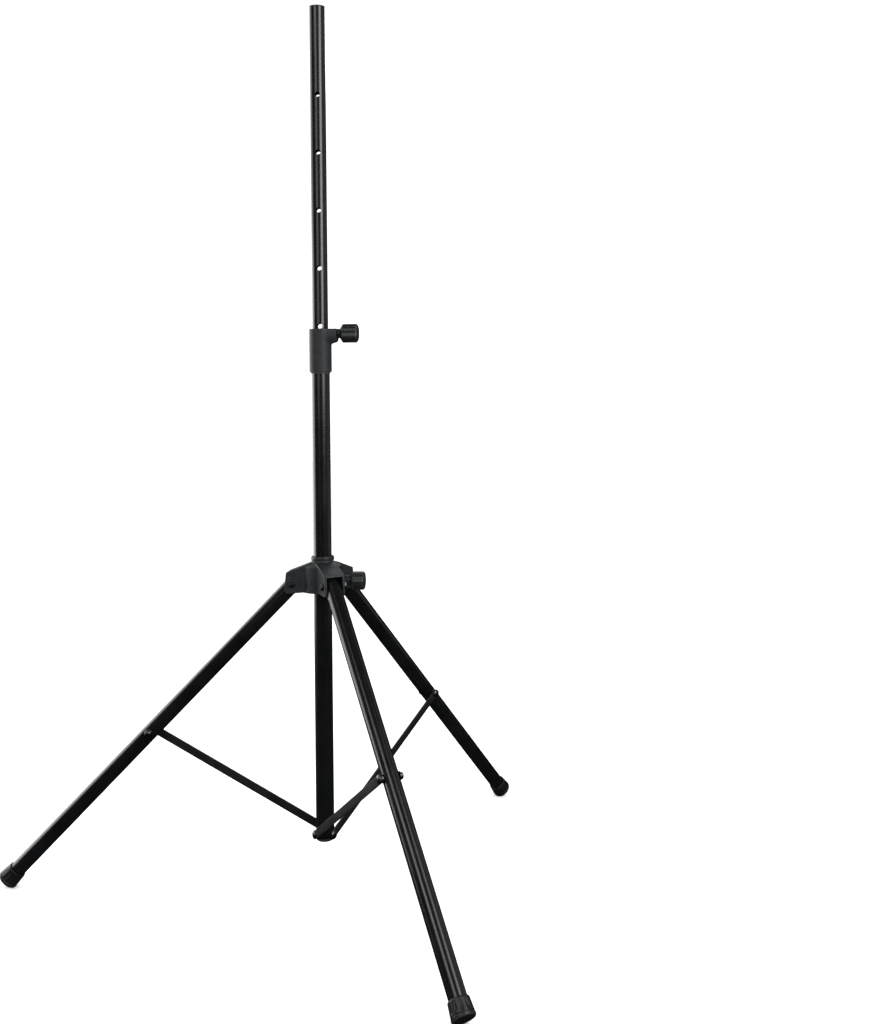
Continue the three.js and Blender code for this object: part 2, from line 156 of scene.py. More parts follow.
def corner_arc(corner, before, after, fillet):
    """The rows of a rounded profile corner: radius, height, outward normal and edge wear."""
    d1 = (corner - before) / np.linalg.norm(corner - before)
    d2 = (after - corner) / np.linalg.norm(after - corner)
    bend = math.atan2(d1[0] * d2[1] - d1[1] * d2[0], d1 @ d2)
    if abs(bend) < 1 * DEG:
        return []
    room = 0.45 * min(np.linalg.norm(corner - before), np.linalg.norm(after - corner))
    reach = min(fillet * math.tan(abs(bend) / 2), room)
    radius = reach / math.tan(abs(bend) / 2)
    n1 = np.array([d1[1], -d1[0]])
    way = 1 if bend > 0 else -1
    centre = corner - d1 * reach - n1 * radius * way
    steps = max(3, math.ceil(abs(bend) / (15 * DEG)))
    rows = []
    for i in range(steps + 1):
        turn = bend * i / steps
        c, s = math.cos(turn), math.sin(turn)
        n = np.array([c * n1[0] - s * n1[1], s * n1[0] + c * n1[1]])
        place = centre + n * radius * way
        worn = 1.0 if way > 0 and 0 < i < steps else 0.0
        rows.append((*place, *n, worn))
    return rows


def rounded(profile, closed=False, fillet=0.5):
    """Rounds a profile's corners, each [radius, height] or [radius, height, fillet]."""
    corners = [np.array(row[:2], float) for row in profile]
    fillets = [row[2] if len(row) > 2 else fillet for row in profile]
    rows = []
    for i, corner in enumerate(corners):
        if not closed and i in (0, len(corners) - 1):
            rows.append((*corner, 0.0, -1.0 if i == 0 else 1.0, 0.0))
        else:
            after = corners[(i + 1) % len(corners)]
            rows += corner_arc(corner, corners[i - 1], after, fillets[i])
    return np.array(rows)


def ring_faces(rows, sides, closed):
    """The faces of a grid of rows round an axis. Open grids start and end in a point."""
    faces = []
    spans = rows if closed else rows - 1
    for i in range(spans):
        a, b = i * sides, ((i + 1) % rows) * sides
        for j in range(sides):
            k = (j + 1) % sides
            faces.append((a + j, a + k, b + k, b + j))
    return faces


def spun(name, rows, place, sides, closed=False, shape=None, analytic=True):
    """Turns rows of a profile about Z. shape(angle, radius, height) may push radii in or out."""
    angles = np.arange(sides) * 2 * math.pi / sides
    radius = np.repeat(rows[:, 0:1], sides, axis=1)
    height = np.repeat(rows[:, 1:2], sides, axis=1)
    turn = np.repeat(angles[None, :], len(rows), axis=0)
    if shape is not None:
        radius, height = shape(turn, radius, height)
    points = np.stack([radius * np.cos(turn), radius * np.sin(turn), height], -1).reshape(-1, 3)
    flat = np.repeat(rows[:, 2:3], sides, axis=1)
    rise = np.repeat(rows[:, 3:4], sides, axis=1)
    normals = np.stack([flat * np.cos(turn), flat * np.sin(turn), rise], -1).reshape(-1, 3)
    edge = np.repeat(rows[:, 4], sides)
    faces = ring_faces(len(rows), sides, closed)
    if not closed:
        points, normals, edge, faces = close_ends(points, normals, edge, faces, sides)
    smooth = normals if analytic and shape is None else None
    return add_piece(name, points, faces, place, smooth, edge)


def close_ends(points, normals, edge, faces, sides):
    """Draws the first and last rows, which lie on the axis, together into one point each."""
    last = len(points) - sides
    keep = np.arange(sides - 1, last + 1)
    number = {old: new for new, old in enumerate(keep)}
    for old in range(sides):
        number[old] = 0
        number[last + old] = len(keep) - 1
    drawn = []
    for face in faces:
        corners = list(dict.fromkeys(number[v] for v in face))
        if len(corners) > 2:
            drawn.append(tuple(corners))
    return points[keep], normals[keep], edge[keep], drawn


def turned(name, profile, place, sides=96, closed=False, fillet=0.5):
    """A turned piece with rounded corners and true normals."""
    return spun(name, rounded(profile, closed, fillet), place, sides, closed)


def with_support(rows, reach=0.4):
    """Adds a row close to each end of every long straight stretch, so that shading stays flat."""
    made = [rows[0]]
    for before, after in zip(rows, rows[1:]):
        length = np.linalg.norm(after[:2] - before[:2])
        if length > 3 * reach:
            count = max(1, int(length // 4))
            shares = [reach / length, *(np.arange(1, count) / count), 1 - reach / length]
            for share in sorted(shares):
                row = before * (1 - share) + after * share
                row[4] = 0
                made.append(row)
        made.append(after)
    return np.array(made)


# ---------------------------------------------------------------- drilled tubes
def apply_modifiers(piece):
    graph = bpy.context.evaluated_depsgraph_get()
    made = bpy.data.meshes.new_from_object(piece.evaluated_get(graph))
    piece.modifiers.clear()
    piece.data = made


def drill_bit(hole, sides=64):
    centre, direction, radius, length = hole
    z = Vector(direction).normalized()
    x = z.orthogonal().normalized()
    place = space(Vector(centre) * MM, x, z.cross(x), z)
    half = length / 2
    rows = np.array([(0, -half, 0, -1, 0), (radius, -half, 1, 0, 0), (radius, half, 1, 0, 0),
                     (0, half, 0, 1, 0)], float)
    return spun("bit", rows, place, sides)


def true_normals(mesh, rounds):
    """Gives the corners of each round face the normal of the cylinder that it lies on.

    rounds holds rows of centre, direction and radius. Other corners keep their own.
    """
    mesh.set_sharp_from_angle(angle=30 * DEG)
    count = len(mesh.loops)
    normals = np.zeros(count * 3)
    mesh.corner_normals.foreach_get("vector", normals)
    normals = normals.reshape(-1, 3)
    corner = np.zeros(count, int)
    mesh.loops.foreach_get("vertex_index", corner)
    points = np.zeros(len(mesh.vertices) * 3)
    mesh.vertices.foreach_get("co", points)
    points = points.reshape(-1, 3)[corner] / MM
    face_normals = np.zeros(len(mesh.polygons) * 3)
    mesh.polygons.foreach_get("normal", face_normals)
    sizes = np.zeros(len(mesh.polygons), int)
    mesh.polygons.foreach_get("loop_total", sizes)
    face_normals = np.repeat(face_normals.reshape(-1, 3), sizes, axis=0)
    for centre, direction, radius in rounds:
        axis = np.array(Vector(direction).normalized())
        out = points - np.array(centre, float)
        out -= np.outer(out @ axis, axis)
        distance = np.linalg.norm(out, axis=1)
        out /= np.maximum(distance, 1e-9)[:, None]
        facing = np.einsum("ij,ij->i", out, face_normals)
        level = np.abs(face_normals @ axis) < 0.02
        on_it = (np.abs(distance - radius) < 0.06) & (np.abs(facing) > 0.98) & level
        normals[on_it] = out[on_it] * np.sign(facing[on_it])[:, None]
    mesh.normals_split_custom_set(normals.tolist())


def drilled(piece, holes, rounds=()):
    """Cuts round holes, each a centre, direction, radius and length, and mends the normals."""
    for hole in holes:
        bit = drill_bit(hole)
        bit.matrix_world = piece.matrix_world @ bit.matrix_world
        bpy.context.view_layer.update()
        cut = piece.modifiers.new("cut", "BOOLEAN")
        cut.operation = "DIFFERENCE"
        cut.solver = "EXACT"
        cut.object = bit
        apply_modifiers(piece)
        bpy.data.objects.remove(bit)
    true_normals(piece.data, [*rounds, *((c, d, r) for c, d, r, _ in holes)])
    return piece


def tube(name, radius, wall, place, holes=(), rim=0.4):
    """A round tube along a CAD node's whole length, with softened rims and cross holes."""
    low, high = span(name, place)
    inner = radius - wall
    profile = [[inner, low], [radius, low], [radius, high], [inner, high]]
    piece = turned(f"{name}_fine", profile, place, sides=128, closed=True, fillet=rim)
    axis = ((0, 0, 0), (0, 0, 1))
    return drilled(piece, holes, [(*axis, radius), (*axis, inner)])


# ---------------------------------------------------------------- shapes by distance
# Moulded pieces are distance fields over points of shape (n, 3), in millimetres.
def outline_distance(x, y, corners, inset=0.0):
    """The distance to a convex outline, anticlockwise, whose corners are rounded by inset."""
    points = np.array(corners, float)
    if inset:
        points = shrunk(points, inset)
    nearest = np.full(x.shape, 1e12)
    deepest = np.full(x.shape, -1e12)
    for (ax, ay), (bx, by) in zip(points, np.roll(points, -1, axis=0)):
        ex, ey = bx - ax, by - ay
        wx, wy = x - ax, y - ay
        share = np.clip((wx * ex + wy * ey) / (ex * ex + ey * ey), 0, 1)
        nearest = np.minimum(nearest, (wx - ex * share) ** 2 + (wy - ey * share) ** 2)
        deepest = np.maximum(deepest, (wx * ey - wy * ex) / math.hypot(ex, ey))
    distance = np.sqrt(nearest)
    return np.where(deepest < 0, -distance, distance) - inset


def shrunk(points, by):
    """A convex anticlockwise outline moved in by a distance on every side."""
    made = []
    for before, corner, after in zip(np.roll(points, 1, axis=0), points, np.roll(points, -1, axis=0)):
        d1 = (corner - before) / np.linalg.norm(corner - before)
        d2 = (after - corner) / np.linalg.norm(after - corner)
        n1, n2 = np.array([-d1[1], d1[0]]), np.array([-d2[1], d2[0]])
        made.append(corner + (n1 + n2) * by / (1 + n1 @ n2))
    return np.array(made)


def slab(outline, offset, half, rounding):
    """An outline's distance given thickness: half on both sides of a plane."""
    w1 = outline + rounding
    w2 = np.abs(offset) - half + rounding
    outside = np.hypot(np.maximum(w1, 0), np.maximum(w2, 0))
    return outside + np.minimum(np.maximum(w1, w2), 0) - rounding


def union(a, b, soft=0.0):
    if not soft:
        return np.minimum(a, b)
    h = np.maximum(soft - np.abs(a - b), 0) / soft
    return np.minimum(a, b) - h * h * soft / 4


def minus(a, b, soft=0.0):
    return -union(-a, b, soft)


def overlap(a, b, soft=0.0):
    return -union(-a, -b, soft)


def gradient(distance, points, step=0.05):
    slopes = []
    for axis in range(3):
        shift = np.zeros(3)
        shift[axis] = step
        slopes.append(distance(points + shift) - distance(points - shift))
    slopes = np.stack(slopes, -1)
    return slopes / np.maximum(np.linalg.norm(slopes, axis=1), 1e-9)[:, None]


def moulded(name, distance, low, high, place, voxel):
    """A mesh of the surface where distance() is 0, with true normals, worn edges marked above zero and hollows
    marked below zero for painted shade.
    """
    counts = [int((b - a) / voxel) + 1 for a, b in zip(low, high)]
    axes = [a + np.arange(n) * voxel for a, n in zip(low, counts)]
    grid_points = np.stack(np.meshgrid(*axes, indexing="ij"), -1).reshape(-1, 3)
    field = distance(grid_points).reshape(counts)
    grid = openvdb.FloatGrid(3 * voxel)
    grid.copyFromArray(np.clip(field, -3 * voxel, 3 * voxel).astype(np.float32))
    points, quads = grid.convertToQuads()
    points = points.astype(float) * voxel + np.array(low)
    for _ in range(2):
        normals = gradient(distance, points)
        points -= normals * np.clip(distance(points), -voxel, voxel)[:, None]
    normals = gradient(distance, points)
    depth = 1.5
    edge = np.clip((distance(points - normals * depth) + depth) / depth * 1.6, 0, 1)
    # Painted shade: how deep a point lies in hollows and inner corners, taken off the mark.
    painted_hollow_shade = np.clip((depth - distance(points + normals * depth)) / depth * 1.6, 0, 1)
    faces = facing_out(points, quads, normals)
    return add_piece(name, points, faces, place, normals, edge - painted_hollow_shade)


def facing_out(points, quads, normals):
    """The quads as lists, all turned so that they face the way of their vertices' normals."""
    a, b, c = (points[quads[:, i]] for i in (0, 1, 2))
    way = np.einsum("ij,ij->i", np.cross(b - a, c - b), normals[quads[:, 0]])
    return (quads if np.sum(way) > 0 else quads[:, ::-1]).tolist()


# ---------------------------------------------------------------- hub
HUB_BORE_R = 22.3
BARREL_R = 42
BARREL_WALL = 3.5
CORE_R = 29
NECK_R = 24.6
EAR_HALF = 23
SLOT_HALF = 18.3
STUD_HOLE_R = 5.25
PAD_POCKET_R = 7.4
BOLT_HOLE_R = 4.3
BOLT_PAD_R = 9.6
BARREL = [[-50, -19.5], [BARREL_R, -19.5], [BARREL_R, 38], [26, 45.6], [-50, 45.6]]
BARREL_POCKET = [[CORE_R, -40], [BARREL_R - BARREL_WALL, -40], [BARREL_R - BARREL_WALL, 34.5], [CORE_R, 34.5]]
NECK = [[-50, 0], [NECK_R, 0], [NECK_R, 50], [-50, 50]]
HOUSING = [[0, -17], [72, -21], [78, -20.4], [80.6, -17], [81, 0], [78, 25], [26, 44.5], [0, 44.5]]
HOUSING_SLOT = [[0, -60], [130, -60], [130, 1.8], [24, 41], [0, 41]]
HUB_BOSS = [[10, -30], [62, -30], [62, 12.6], [10, 13.6]]
HUB_SCREW = (pivot("hub_knob_turn").z - HUB_ORIGIN.z) / MM
HUB_PIVOT_R = (pivot("leg_1_fold") - HUB_ORIGIN).length / MM


def leg_turns():
    return [math.atan2(*(pivot(f"leg_{k}_fold") - HUB_ORIGIN).yx) for k in LEGS]


def hub_distance(p):
    x, y, z = p.T
    r = np.hypot(x, y)
    screw_r = np.hypot(y, z - HUB_SCREW)
    barrel = outline_distance(r, z, BARREL, inset=1.2)
    barrel = minus(barrel, outline_distance(r, z, BARREL_POCKET, inset=1.0), 0.5)
    body = union(barrel, outline_distance(r, z, NECK, inset=0.8), 2.5)
    for turn in leg_turns():
        out = x * math.cos(turn) + y * math.sin(turn)
        side = y * math.cos(turn) - x * math.sin(turn)
        shell = slab(outline_distance(out, z, HOUSING, inset=2.0), side, EAR_HALF, 1.6)
        slot = slab(outline_distance(out, z, HOUSING_SLOT, inset=2.5), side, SLOT_HALF, 2.0)
        pad_r = np.hypot(out - HUB_PIVOT_R, z)
        pad = overlap(pad_r - BOLT_PAD_R, np.abs(side) - EAR_HALF - 0.25, 0.4)
        housing = minus(union(shell, pad), slot, 1.0)
        body = union(body, housing, 3.0)
    boss = outline_distance(x, screw_r, HUB_BOSS, inset=1.2)
    body = union(body, boss, 4.0)
    body = minus(body, r - HUB_BORE_R, 0.6)
    body = minus(body, np.maximum(screw_r - STUD_HOLE_R, 10 - x), 0.6)
    body = minus(body, np.maximum(screw_r - PAD_POCKET_R, np.maximum(10 - x, x - 33)), 0.4)
    for turn in leg_turns():
        out = x * math.cos(turn) + y * math.sin(turn)
        bolt = np.maximum(np.hypot(out - HUB_PIVOT_R, z) - BOLT_HOLE_R, 30 - out)
        body = minus(body, bolt, 0.4)
    return body


def make_hub():
    voxel = 0.9
    return moulded("hub_fine", hub_distance, (-86, -86, -24), (66, 86, 54), upright(HUB_ORIGIN), voxel)


def make_hub_sleeve():
    """The liner's flanged top, with a groove round the flange."""
    place = upright(HUB_ORIGIN)
    low, high = span("hub_sleeve", place)
    inner, outer, seat = 20.3, 22.0, 50.3
    profile = [
        [inner, low], [outer, low], [outer, seat], [24.6, seat, 0.3], [25.6, seat + 1.2], [25.6, 53.4, 0.3],
        [24.7, 53.8, 0.3], [24.7, 54.8, 0.3], [25.6, 55.2, 0.4], [25.6, high - 2.8, 1.2], [23.6, high, 1.0],
        [inner, high, 0.6],
    ]
    piece = turned("hub_sleeve_fine", profile, place, sides=128, closed=True, fillet=0.4)
    window = ((25, 0, HUB_SCREW), (1, 0, 0), PAD_POCKET_R, 16)
    axis = ((0, 0, 0), (0, 0, 1))
    return drilled(piece, [window], [(*axis, inner), (*axis, outer), (*axis, 25.6)])


# ---------------------------------------------------------------- collar
COLLAR_R = 24.8
COLLAR_LIP_R = 21.6
COLLAR_HEIGHT = (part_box("collar")[1].z - COLLAR_ORIGIN.z) / MM
COLLAR_SCREW = (pivot("collar_knob_turn").z - COLLAR_ORIGIN.z) / MM
COLLAR_BOSS_END = 39
COLLAR_BOSS = [[0, -40], [COLLAR_BOSS_END, -40], [COLLAR_BOSS_END, 19], [0, 19.4]]
COLLAR_BOSS_DROP = 0.3  # how fast its underside falls towards the mast
COLLAR_BOSS_SLOPE = 30  # how far along the boss that goes on
OVER_TUBE_R = 20.35
OVER_MAST_R = 18.1
STEP_HEIGHT = COLLAR_HEIGHT - 20
RIVET_HOLE_R = 3.3


def rivet_direction():
    out = middle("collar_rivet") - MAST
    return Vector((out.x, out.y, 0)).normalized()


def collar_distance(p):
    x, y, z = p.T
    r = np.hypot(x, y)
    screw_r = np.hypot(y, z - COLLAR_SCREW)
    below = np.maximum(COLLAR_SCREW - z, 0)
    along = np.clip(COLLAR_BOSS_END - x, 0, COLLAR_BOSS_SLOPE)
    swept_r = screw_r - COLLAR_BOSS_DROP * along * below / np.maximum(screw_r, 1)
    lip = outline_distance(r, z, [[-50, 0], [COLLAR_LIP_R, 0], [COLLAR_LIP_R, 20], [-50, 20]], inset=0.6)
    main = [[-50, 3.4], [COLLAR_R, 3.4], [COLLAR_R, COLLAR_HEIGHT], [-50, COLLAR_HEIGHT]]
    body = union(lip, outline_distance(r, z, main, inset=1.1), 0.8)
    boss = outline_distance(x, swept_r, COLLAR_BOSS, inset=2.4)
    boss = overlap(boss, z - COLLAR_HEIGHT, 2.0)
    body = union(body, np.maximum(boss, -x), 4.0)
    body = overlap(body, z - COLLAR_HEIGHT)
    body = minus(body, np.maximum(r - OVER_TUBE_R, z - STEP_HEIGHT), 0.5)
    body = minus(body, r - OVER_MAST_R, 0.6)
    body = minus(body, np.maximum(screw_r - STUD_HOLE_R, 10 - x), 0.6)
    body = minus(body, np.maximum(screw_r - PAD_POCKET_R, np.maximum(10 - x, x - 28)), 0.4)
    out = rivet_direction()
    height = (middle("collar_rivet").z - COLLAR_ORIGIN.z) / MM
    aside = np.hypot(y * out.x - x * out.y, z - height)
    return minus(body, np.maximum(aside - RIVET_HOLE_R, 10 - x * out.x - y * out.y), 0.4)


def make_collar():
    voxel = 0.8
    high = (42, 27, COLLAR_HEIGHT + 3)
    return moulded("collar_fine", collar_distance, (-27, -27, -3), high, upright(COLLAR_ORIGIN), voxel)


def make_collar_bush():
    place = upright(MAST)
    low, high = span("collar_bush", place)
    inner, outer, flange = 17.72, 18.3, 20
    seat = high - 3
    profile = [[inner, low], [outer, low], [outer, seat], [flange, seat], [flange, high], [inner, high]]
    return turned("collar_bush_fine", profile, place, closed=True, fillet=0.2)


def make_collar_rivet():
    centre = middle("collar_rivet")
    place = across(MAST + UP * centre.z, rivet_direction())
    low, high = span("collar_rivet", place)
    seat = high - 4.9
    profile = [[0, low], [3, low], [3, seat, 0.2], [8.5, seat, 0.3], [8.2, seat + 1.7, 1.5],
               [6.4, seat + 3.6, 4], [3.4, high - 0.3, 4], [0, high]]
    return turned("collar_rivet_fine", profile, place, sides=64, fillet=0.3)


# ---------------------------------------------------------------- clamp screws
SCREW_PITCH = 1.5
SCREW_DEPTH = 0.75
STUD_R = 5


def screw_place(name, tube_origin):
    return across(MAST + UP * pivot(f"{name}_knob_turn").z, (1, 0, 0))


def make_stud(name):
    """A clamp screw's stud with its real thread."""
    place = screw_place(name, MAST)
    low, high = span(f"{name}_stud", place)
    step = SCREW_PITCH / 8
    heights = np.arange(low, high, step)
    rows = [(0, low, 0, -1, 0)]
    rows += [(STUD_R, z, 1, 0, 0) for z in heights]
    rows += [(0, high, 0, 1, 0)]

    def thread(turn, radius, height):
        phase = (height / SCREW_PITCH - turn / (2 * math.pi)) % 1
        ends = np.minimum((height - low) / 1.2, (high - height) / 1.2)
        crest = np.abs(2 * phase - 1)
        deep = SCREW_DEPTH * np.clip(1.15 * crest, 0.08, 1) + np.clip(1 - ends, 0, 1) * 0.8
        return np.where(radius > 0, radius - deep, 0), height

    return spun(f"{name}_stud_fine", np.array(rows, float), place, 48, shape=thread)


def lobes(count, depth, full, start):
    """A shaping that pulls a knob in between its lobes, more towards its rim."""
    def pull(turn, radius, height):
        share = np.clip((radius / full - start) / (1 - start), 0, 1)
        valley = ((1 - np.cos(count * turn)) / 2) ** 1.3
        return radius - depth * valley * share, height
    return pull


def make_collar_knob():
    """Six broad lobes, a coned back, a waist and a dished end."""
    place = screw_place("collar", MAST)
    low, high = span("collar_knob", place)
    hole = STUD_R + 0.3
    profile = [
        [0, low + 18.3], [hole, low + 18.3], [hole, low, 0.4], [10.4, low, 0.8], [10.8, low + 4.2, 1.6],
        [19.0, low + 8.8, 1.8], [21, low + 11.2, 1.2], [21, high - 4.4, 1.6], [17.6, high - 1.0, 1.8],
        [13.2, high - 0.4, 0.8], [12.2, high - 1.4, 0.8], [0, high - 0.9],
    ]
    rows = with_support(rounded(profile, fillet=0.6))
    return spun("collar_knob_fine", rows, place, 144, shape=lobes(6, 2.6, 21, 0.55))


def make_hub_knob():
    """A round knob with twelve shallow flutes and a raised disc on its end."""
    place = screw_place("hub", MAST)
    low, high = span("hub_knob", place)
    hole = STUD_R + 0.3
    profile = [
        [0, low + 18.3], [hole, low + 18.3], [hole, low, 0.4], [11, low, 0.6], [11, low + 2.6, 0.8],
        [18.5, low + 3.2, 1.0], [20.5, low + 5.6, 1.6], [20.5, high - 4.6, 1.8], [17.9, high - 1.6, 1.6],
        [12.4, high - 1.2, 0.6], [11.6, high - 0.3, 0.6], [0, high],
    ]
    rows = with_support(rounded(profile, fillet=0.6))
    return spun("hub_knob_fine", rows, place, 192, shape=lobes(12, 0.8, 20.5, 0.8))


# ---------------------------------------------------------------- mast
LOWER_R = 20
LOWER_WALL = 1.5
UPPER_R = 17.5
UPPER_WALL = 2
PIN_HOLE_R = 5.75
PIN_HOLE_TURN = 7 * DEG
RIVET_BORE = 3.3


def pin_heights():
    """The heights of the mast's cross holes, from the openings that the record states."""
    boxes = [opening["box_m"] for opening in frame["record"]["physics"]["openings"]]
    return [(low[2] + high[2]) / 2 / MM for low, high in boxes]


def make_upper_tube():
    way = (-math.sin(PIN_HOLE_TURN), math.cos(PIN_HOLE_TURN), 0)
    holes = [((0, 0, z), way, PIN_HOLE_R, 60) for z in pin_heights()]
    return tube("upper_tube", UPPER_R, UPPER_WALL, upright(MAST), holes)


def make_lower_tube():
    holes = []
    for k in LEGS:
        side = -leg_side(k)
        centre = side * 20 + UP * (strut_foot(k).z / MM)
        holes.append((centre, side, BOLT_HOLE_R, 10))
    out = rivet_direction()
    rivet = middle("collar_rivet").z / MM
    holes.append((out * 20 + UP * rivet, out, RIVET_BORE, 10))
    return tube("lower_tube", LOWER_R, LOWER_WALL, upright(MAST), holes)


def make_top_plug():
    place = upright(MAST)
    low, high = span("top_plug", place)
    spigot, seat = 15.2, high - 2
    profile = [
        [0, high - 4], [spigot - 2.5, high - 4], [spigot - 2.5, low], [spigot, low], [spigot, seat, 0.2],
        [UPPER_R, seat, 0.2], [UPPER_R, high, 0.5], [UPPER_R - 4, high, 0.5],
        [UPPER_R - 4.6, high - 0.6, 0.5], [0, high - 0.6],
    ]
    return turned("top_plug_fine", profile, place, fillet=0.4)


def make_end_cap():
    place = upright(MAST)
    low, high = span("tube_end_cap", place)
    outer = LOWER_R - LOWER_WALL - 0.3
    flange = low + 6
    profile = [
        [0, low + 0.8], [11, low + 0.8, 0.6], [11.8, low, 0.6], [16, low, 2.2], [LOWER_R, low + 3.4, 1.6],
        [LOWER_R, flange, 0.2], [outer, flange], [outer, high], [outer - 3.5, high], [outer - 3.5, low + 4],
        [0, low + 4],
    ]
    piece = turned("tube_end_cap_fine", profile, place, fillet=0.4)
    holes = []
    for k in LEGS:
        side = -leg_side(k)
        holes.append((side * 18 + UP * (strut_foot(k).z / MM), side, BOLT_HOLE_R, 12))
    return drilled(piece, holes, [((0, 0, 0), (0, 0, 1), outer)])


# ---------------------------------------------------------------- legs
LEG_R = 17.5
LEG_WALL = 1.5
FOOT_R = 23
FOOT_FLUTES = 12


def strut_bolt_drop(k):
    return (pivot(f"leg_{k}_fold") - pivot(f"strut_{k}_fold")).length / MM


def make_leg_tube(k):
    place = leg_space(k)
    holes = [((0, 0, z), (0, 1, 0), BOLT_HOLE_R, 60) for z in (0, -strut_bolt_drop(k))]
    return tube(f"leg_{k}_tube", LEG_R, LEG_WALL, place, holes)


def make_leg_plug(k):
    place = leg_space(k)
    low, high = span(f"leg_{k}_top_plug", place)
    spigot, seat = 15.7, high - 2.9
    profile = [[0, low], [spigot, low], [spigot, seat, 0.2], [LEG_R, seat, 0.2], [LEG_R, high - 1.2, 1.0],
               [LEG_R - 1.8, high, 1.2], [0, high]]
    piece = turned(f"leg_{k}_top_plug_fine", profile, place, fillet=0.4)
    return drilled(piece, [((0, 0, 0), (0, 1, 0), BOLT_HOLE_R, 60)], [((0, 0, 0), (0, 0, 1), spigot)])


def make_foot(k):
    """A flared rubber foot: flutes down its side, a groove, and a thick rounded tread."""
    place = leg_space(k)
    low, high = span(f"leg_{k}_foot", place)
    bore = LEG_R + 0.3
    groove = low + 8.6
    profile = [
        [0, low], [15.5, low, 1.0], [FOOT_R, low + 1.8, 5.0], [FOOT_R, groove - 1.1, 0.8],
        [FOOT_R - 1.3, groove - 0.3, 0.4], [FOOT_R - 1.4, groove + 0.7, 0.4], [22.4, groove + 1.7, 0.8],
        [20.7, high - 2.6, 1.6], [19.9, high, 0.7], [bore, high, 0.4], [bore, low + 7.7, 0.5], [0, low + 7.7],
    ]
    rows = with_support(rounded(profile, fillet=0.5))
    top, bottom = high - 4, groove + 3.5

    def flute(turn, radius, height):
        """Teardrops, pointed above and round below."""
        outer = radius > 19
        fall = np.clip((top - height) / (top - bottom), 0, 1)
        foot_end = np.sqrt(np.clip((height - bottom) / 4.5, 0, 1))
        across_it = np.abs(((turn * FOOT_FLUTES / (2 * math.pi)) % 1) - 0.5) * 2
        width = 0.72 * fall**0.75 * foot_end
        groove_depth = np.clip((width - across_it) / 0.16, 0, 1)
        smooth = groove_depth * groove_depth * (3 - 2 * groove_depth)
        return np.where(outer, radius - 1.1 * smooth, radius), height

    return spun(f"leg_{k}_foot_fine", refined(rows, 0.9), place, 240, shape=flute)


def refined(rows, step):
    """Rows no further apart than a step, so that a shaping has points to move."""
    made = [rows[0]]
    for before, after in zip(rows, rows[1:]):
        count = max(1, math.ceil(np.linalg.norm(after[:2] - before[:2]) / step))
        made += [before + (after - before) * i / count for i in range(1, count + 1)]
    return np.array(made)


# ---------------------------------------------------------------- struts
STRUT_HALF = 9
STRUT_NEAR = 20.5
STRUT_FAR = 24
STRUT_EDGE = 0.7


def make_strut(k):
    """A flat bar with round ends, softened edges and a hole at each end."""
    place = strut_space(k)
    low, high = span(f"strut_{k}", place)
    turns = 36
    loops = []
    for i in range(4):
        lean = i / 3 * math.pi / 2
        loops.append((STRUT_EDGE * (1 - math.sin(lean)), STRUT_EDGE * (1 - math.cos(lean))))
    thickness = STRUT_FAR - STRUT_NEAR
    layers = [(inset, -STRUT_NEAR - lift) for inset, lift in loops]
    layers += [(inset, -STRUT_NEAR - thickness + lift) for inset, lift in reversed(loops)]
    points, normals = [], []
    for row, (inset, y) in enumerate(layers):
        lean = (row if row < 4 else 7 - row) / 3 * math.pi / 2
        way = 1 if row < 4 else -1
        for end, start in ((high - STRUT_HALF, 0), (low + STRUT_HALF, math.pi)):
            for j in range(turns + 1):
                turn = start + math.pi * j / turns
                r = STRUT_HALF - inset
                points.append((r * math.cos(turn), y, end + r * math.sin(turn)))
                flat = math.sin(lean)
                normals.append((flat * math.cos(turn), way * math.cos(lean), flat * math.sin(turn)))
    size = 2 * (turns + 1)
    faces = []
    for row in range(len(layers) - 1):
        for j in range(size):
            n = (j + 1) % size
            faces.append((row * size + j, row * size + n, (row + 1) * size + n, (row + 1) * size + j))
    faces.append(tuple(range(size - 1, -1, -1)))
    faces.append(tuple(range((len(layers) - 1) * size, len(layers) * size)))
    edge = [1.0 if row in (1, 2, 5, 6) else 0.0 for row in range(len(layers)) for _ in range(size)]
    piece = add_piece(f"strut_{k}_fine", points, faces, place, None, edge)
    holes = [((0, -22, z), (0, 1, 0), BOLT_HOLE_R, 12) for z in (0, low + STRUT_HALF)]
    return drilled(piece, holes)


# ---------------------------------------------------------------- fasteners, along a leg's side
HEX_ACROSS = 13


def hex_radius(turn, across_flats=HEX_ACROSS):
    wedge = (turn + math.pi / 6) % (math.pi / 3) - math.pi / 6
    return across_flats / 2 / np.cos(wedge)


def hex_piece(name, rows, place, chamfer_ends):
    """Turned rows in which a radius of -1 stands for the six-sided outline.

    chamfer_ends holds the outline's two end heights, each cut back by a 30 degree cone or not.
    """
    low, high = chamfer_ends
    base = np.array(rows, float)

    def shape(turn, radius, height):
        wide = hex_radius(turn)
        cut_back = np.maximum(wide - HEX_ACROSS / 2 * 0.97, 0) * math.tan(30 * DEG)
        is_hex = radius < 0
        near_low = is_hex & (np.abs(height - low) < 0.01)
        near_high = is_hex & (np.abs(height - high) < 0.01)
        height = np.where(near_low, height + cut_back, height)
        height = np.where(near_high, height - cut_back, height)
        return np.where(is_hex, wide, radius), height

    closed = base[0, 0] > 0
    piece = spun(name, base, place, 96, closed=closed, shape=shape)
    piece.data.set_sharp_from_angle(angle=25 * DEG)
    return piece


def row(radius, height):
    return (radius, height, 0, 0, 0)


def bolt_space(origin, k):
    return across(origin, leg_side(k))


